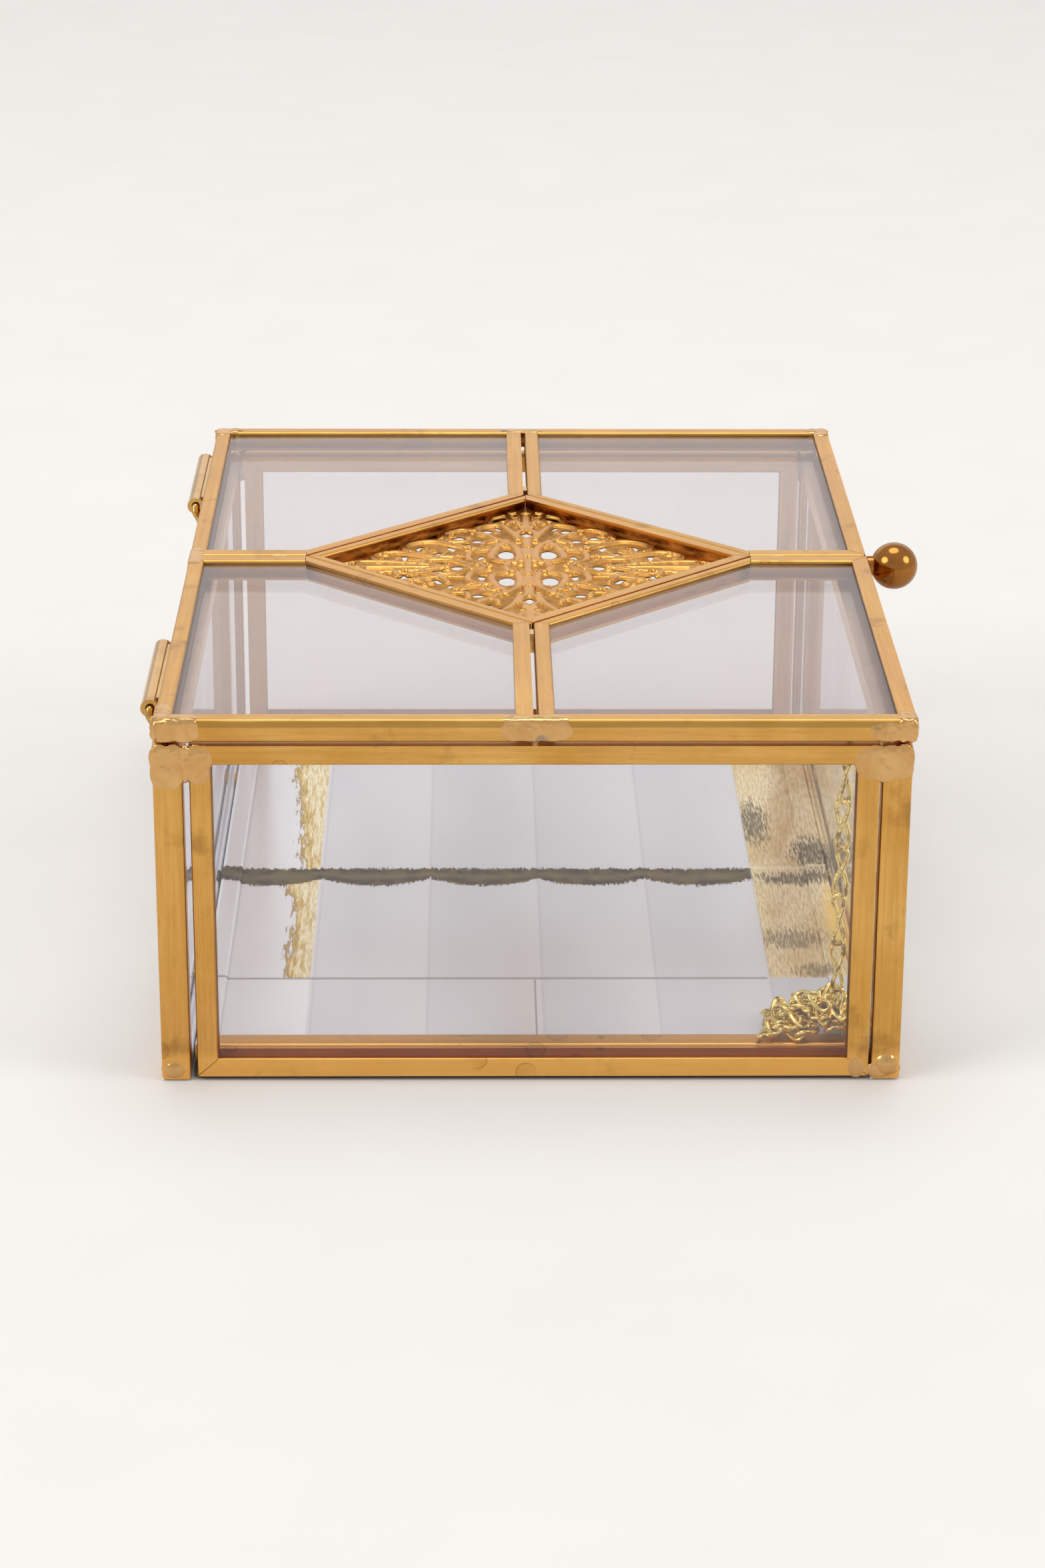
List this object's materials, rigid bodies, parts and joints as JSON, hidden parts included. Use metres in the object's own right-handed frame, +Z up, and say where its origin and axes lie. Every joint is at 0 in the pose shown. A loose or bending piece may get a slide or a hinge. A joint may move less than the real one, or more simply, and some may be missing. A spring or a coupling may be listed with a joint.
{
  "type": "trinket box",
  "caption": "Rectangular glass box framed in folded brass channel, with a mirror floor, a hinged glass lid with a filigree rhombus, a ball knob and a stay chain.",
  "frame": {"origin": "centre of the base, on the surface that the box stands on", "axes": "+Z up, +X along the long sides, -Y the front with the knob, +Y the hinge side"},
  "size_m": [0.1409, 0.1125, 0.0549],
  "materials": {
    "clear_glass": "clear float glass, slightly scratched",
    "mirror_floor": "silvered glass, a little hazy",
    "black_felt": "dense black felt with lint",
    "solder": "plated solder, satin and lumpy",
    "knob_brass": "polished",
    "chain_brass": "bright pale brass",
    "filigree_brass": "stamped, satin",
    "came_brass": "finely brushed along its length, tarnish spots"
  },
  "bodies": {
    "case": {"pane_front": "clear_glass", "pane_back": "clear_glass", "pane_left": "clear_glass", "pane_right": "clear_glass", "came_front": "came_brass", "came_back": "came_brass", "came_left": "came_brass", "came_right": "came_brass", "floor_mirror": "mirror_floor", "floor_came": "came_brass", "felt_pad": "black_felt", "solder_case_left_front": "solder", "solder_case_left_back": "solder", "solder_case_right_front": "solder", "solder_case_right_back": "solder", "solder_drop": "solder", "floor_tacks": "solder", "hinge_wire_left": "came_brass", "hinge_wire_right": "came_brass", "case_eyelet": "chain_brass", "chain_riser": "chain_brass", "chain_heap": "chain_brass"},
    "lid": {"lid_pane_left_front": "clear_glass", "lid_pane_left_back": "clear_glass", "lid_pane_right_front": "clear_glass", "lid_pane_right_back": "clear_glass", "lid_came_left_front": "came_brass", "lid_came_left_back": "came_brass", "lid_came_right_front": "came_brass", "lid_came_right_back": "came_brass", "rhombus_frame": "came_brass", "filigree_plate": "filigree_brass", "solder_lid_left_front": "solder", "solder_lid_left_back": "solder", "solder_lid_right_front": "solder", "solder_lid_right_back": "solder", "solder_lid_ends": "solder", "solder_lid_back": "solder", "solder_points": "solder", "hinge_tube_left": "came_brass", "hinge_tube_right": "came_brass", "knob_neck": "knob_brass", "knob_ball": "knob_brass", "lid_eyelet": "chain_brass"},
    "chain_strand": {"chain_drop": "chain_brass"}
  },
  "joints": [
    {"name": "lid_hinge", "type": "hinge", "parent": "case", "child": "lid", "pos_m": [0, 0.052, 0.0506], "axis": [-1, 0, 0], "range_deg": [0, 100]},
    {"name": "chain_swing", "type": "hinge", "parent": "lid", "child": "chain_strand", "pos_m": [-0.0612, -0.0427, 0.04833], "axis": [-1, 0, 0], "range_deg": [-52, 0]}
  ],
  "couplings": [
    {"joint": "chain_swing", "follows": "lid_hinge", "ratio": -0.508}
  ]
}
